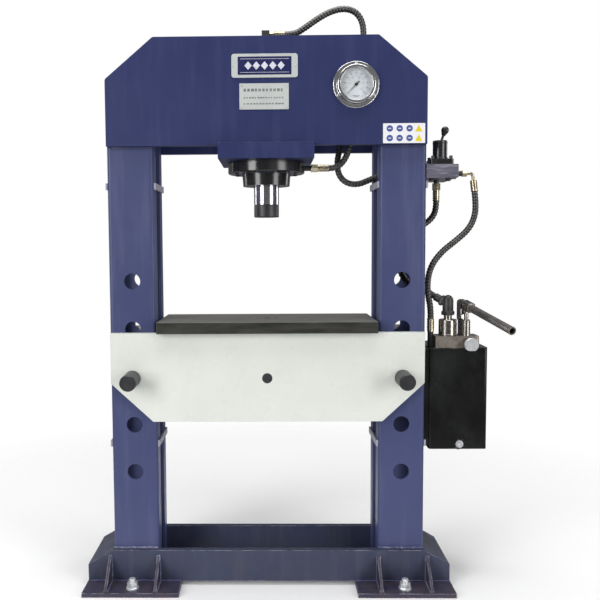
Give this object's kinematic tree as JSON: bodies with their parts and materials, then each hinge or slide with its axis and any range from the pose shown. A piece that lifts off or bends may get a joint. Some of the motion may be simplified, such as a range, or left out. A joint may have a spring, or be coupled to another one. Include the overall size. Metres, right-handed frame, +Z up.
{
  "type": "hydraulic shop press",
  "caption": "Floor-standing H-frame hydraulic press: ram under a plated head, bed carried on pins in the uprights, lever valve and hand pump on an oil tank.",
  "frame": {"origin": "on the floor, under the ram's axis", "axes": "+X to the upright that carries the oil tank, +Y to the rear, +Z up along the ram"},
  "size_m": [1.2856, 0.5198, 1.8398],
  "materials": {
    "navy_paint": "semi-gloss navy enamel",
    "grey_primer": "satin light grey-violet paint",
    "bed_paint": "semi-gloss off-white enamel",
    "table_steel": "ground steel with dark oxide on its sides",
    "dark_steel": "blackened steel",
    "chrome": "hard chrome",
    "plain_steel": "turned steel, lightly oiled",
    "yellow_zinc": "yellow passivated zinc",
    "bright_zinc": "bright zinc",
    "black_paint": "gloss black enamel",
    "black_fitting": "black phosphate",
    "black_plastic": "moulded black",
    "hose_rubber": "ribbed black cover",
    "seal_rubber": "black nitrile",
    "dial_face": "matt white",
    "needle_black": "matt black",
    "gauge_glass": "clear",
    "aluminium_plate": "satin anodised"
  },
  "bodies": {
    "frame": {"left_upright_front_channel": "navy_paint", "left_upright_rear_channel": "navy_paint", "right_upright_front_channel": "navy_paint", "right_upright_rear_channel": "navy_paint", "upright_battens": "grey_primer", "left_foot_plate": "navy_paint", "right_foot_plate": "navy_paint", "front_base_beam": "navy_paint", "rear_base_beam": "navy_paint", "base_end_covers": "grey_primer", "foot_gussets": "navy_paint", "anchor_bolts": "bright_zinc", "front_head_plate": "navy_paint", "rear_head_plate": "navy_paint", "cylinder_carrier": "navy_paint", "cylinder_barrel": "navy_paint", "cylinder_flange": "black_fitting", "cylinder_gland": "black_fitting", "rod_wiper": "seal_rubber", "cylinder_cap": "navy_paint", "front_bed_plate": "bed_paint", "rear_bed_plate": "bed_paint", "bed_spacers": "dark_steel", "gauge_case": "chrome", "gauge_bezel": "chrome", "gauge_dial": "dial_face", "gauge_glass": "gauge_glass", "gauge_line": "plain_steel", "head_signs": "aluminium_plate", "plate_rivets": "bright_zinc", "valve_block": "navy_paint", "valve_body": "black_fitting", "valve_fasteners": "black_fitting", "tank_shell": "black_paint", "tank_lid": "black_paint", "tank_brackets": "black_paint", "drain_plug": "bright_zinc", "pump_block": "plain_steel", "pump_outlet": "plain_steel", "pump_housing": "plain_steel", "pump_fittings": "black_fitting", "suction_strainer": "plain_steel", "fulcrum_links": "plain_steel", "hose_fittings": "yellow_zinc", "upper_port_hose": "hose_rubber", "lower_port_hose": "hose_rubber", "pump_feed_hose": "hose_rubber", "pump_return_hose": "hose_rubber"},
    "ram": {"piston": "plain_steel", "piston_seals": "seal_rubber", "ram_rod": "chrome", "ram_nose": "dark_steel"},
    "left_pin": {"left_bed_pin": "dark_steel"},
    "right_pin": {"right_bed_pin": "dark_steel"},
    "table": {"table_plate": "table_steel"},
    "needle": {"gauge_needle": "needle_black"},
    "valve_arm": {"valve_lever": "black_plastic"},
    "lever": {"pump_lever": "plain_steel"},
    "plunger": {"pump_plunger": "plain_steel"},
    "release_screw": {"release_knob": "bright_zinc"}
  },
  "joints": [
    {"name": "ram_stroke", "type": "slide", "parent": "frame", "child": "ram", "axis": [0, 0, -1], "range_m": [0, 0.2]},
    {"name": "left_pin_pull", "type": "slide", "parent": "frame", "child": "left_pin", "axis": [0, -1, 0], "range_m": [0, 0.235]},
    {"name": "right_pin_pull", "type": "slide", "parent": "frame", "child": "right_pin", "axis": [0, -1, 0], "range_m": [0, 0.235]},
    {"name": "table_lift", "type": "slide", "parent": "frame", "child": "table", "axis": [0, 0, 1], "range_m": [0, 0.12]},
    {"name": "needle_turn", "type": "hinge", "parent": "frame", "child": "needle", "pos_m": [0.274, -0.13, 1.565], "axis": [0, 1, 0], "range_deg": [0, 270], "stiffness_Nm_per_rad": 0.002},
    {"name": "valve_shift", "type": "hinge", "parent": "frame", "child": "valve_arm", "pos_m": [0.547, -0.04, 1.3935], "axis": [0, 1, 0], "range_deg": [-38, 0]},
    {"name": "lever_swing", "type": "hinge", "parent": "frame", "child": "lever", "pos_m": [0.61937, -0.04091, 0.89465], "axis": [-0.9613, -0.2756, 0], "range_deg": [-12, 36]},
    {"name": "plunger_slide", "type": "slide", "parent": "frame", "child": "plunger", "axis": [0, 0, 1], "range_m": [-0.00695, 0.0207]},
    {"name": "release_turn", "type": "hinge", "parent": "frame", "child": "release_screw", "pos_m": [0.636, -0.09, 0.769], "axis": [0, 1, 0], "range_deg": [0, 360]}
  ],
  "couplings": [
    {"joint": "plunger_slide", "follows": "lever_swing", "m_per_rad": 0.0327}
  ]
}
